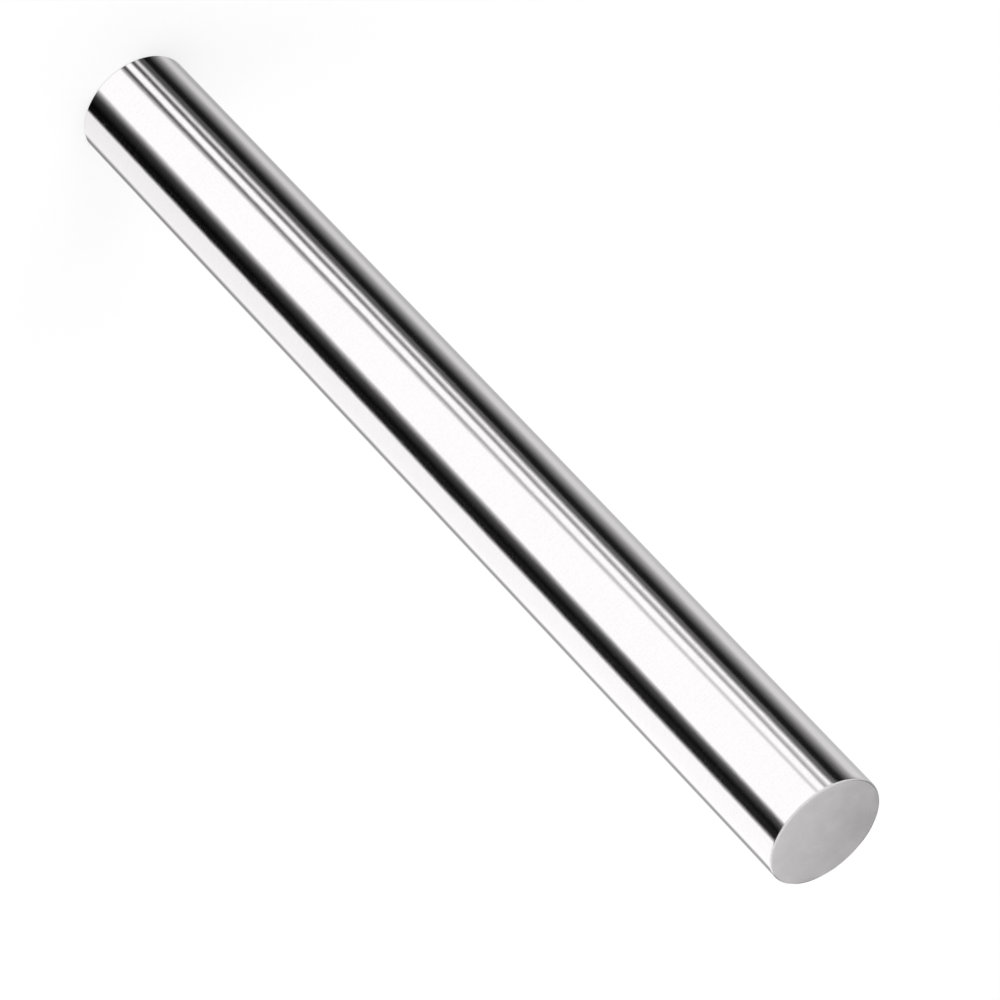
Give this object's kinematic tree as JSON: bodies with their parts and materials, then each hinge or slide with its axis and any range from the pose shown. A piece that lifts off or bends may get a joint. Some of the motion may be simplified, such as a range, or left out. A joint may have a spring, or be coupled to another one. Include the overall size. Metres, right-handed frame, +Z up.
{
  "type": "stainless steel round rod",
  "caption": "Straight solid round bar of polished stainless steel, cut square with lightly chamfered ends, for use as a shaft, pin, rail or machining stock.",
  "frame": {"origin": "middle of the lower end face, where the rod stands on the floor", "axes": "+Z up along the rod's axis; X and Y are any two square directions across it, because the rod is round"},
  "size_m": [0.0318, 0.0318, 0.3048],
  "materials": {
    "polished_stainless": "polished"
  },
  "bodies": {
    "root": {"round_rod": "polished_stainless"}
  },
  "joints": []
}
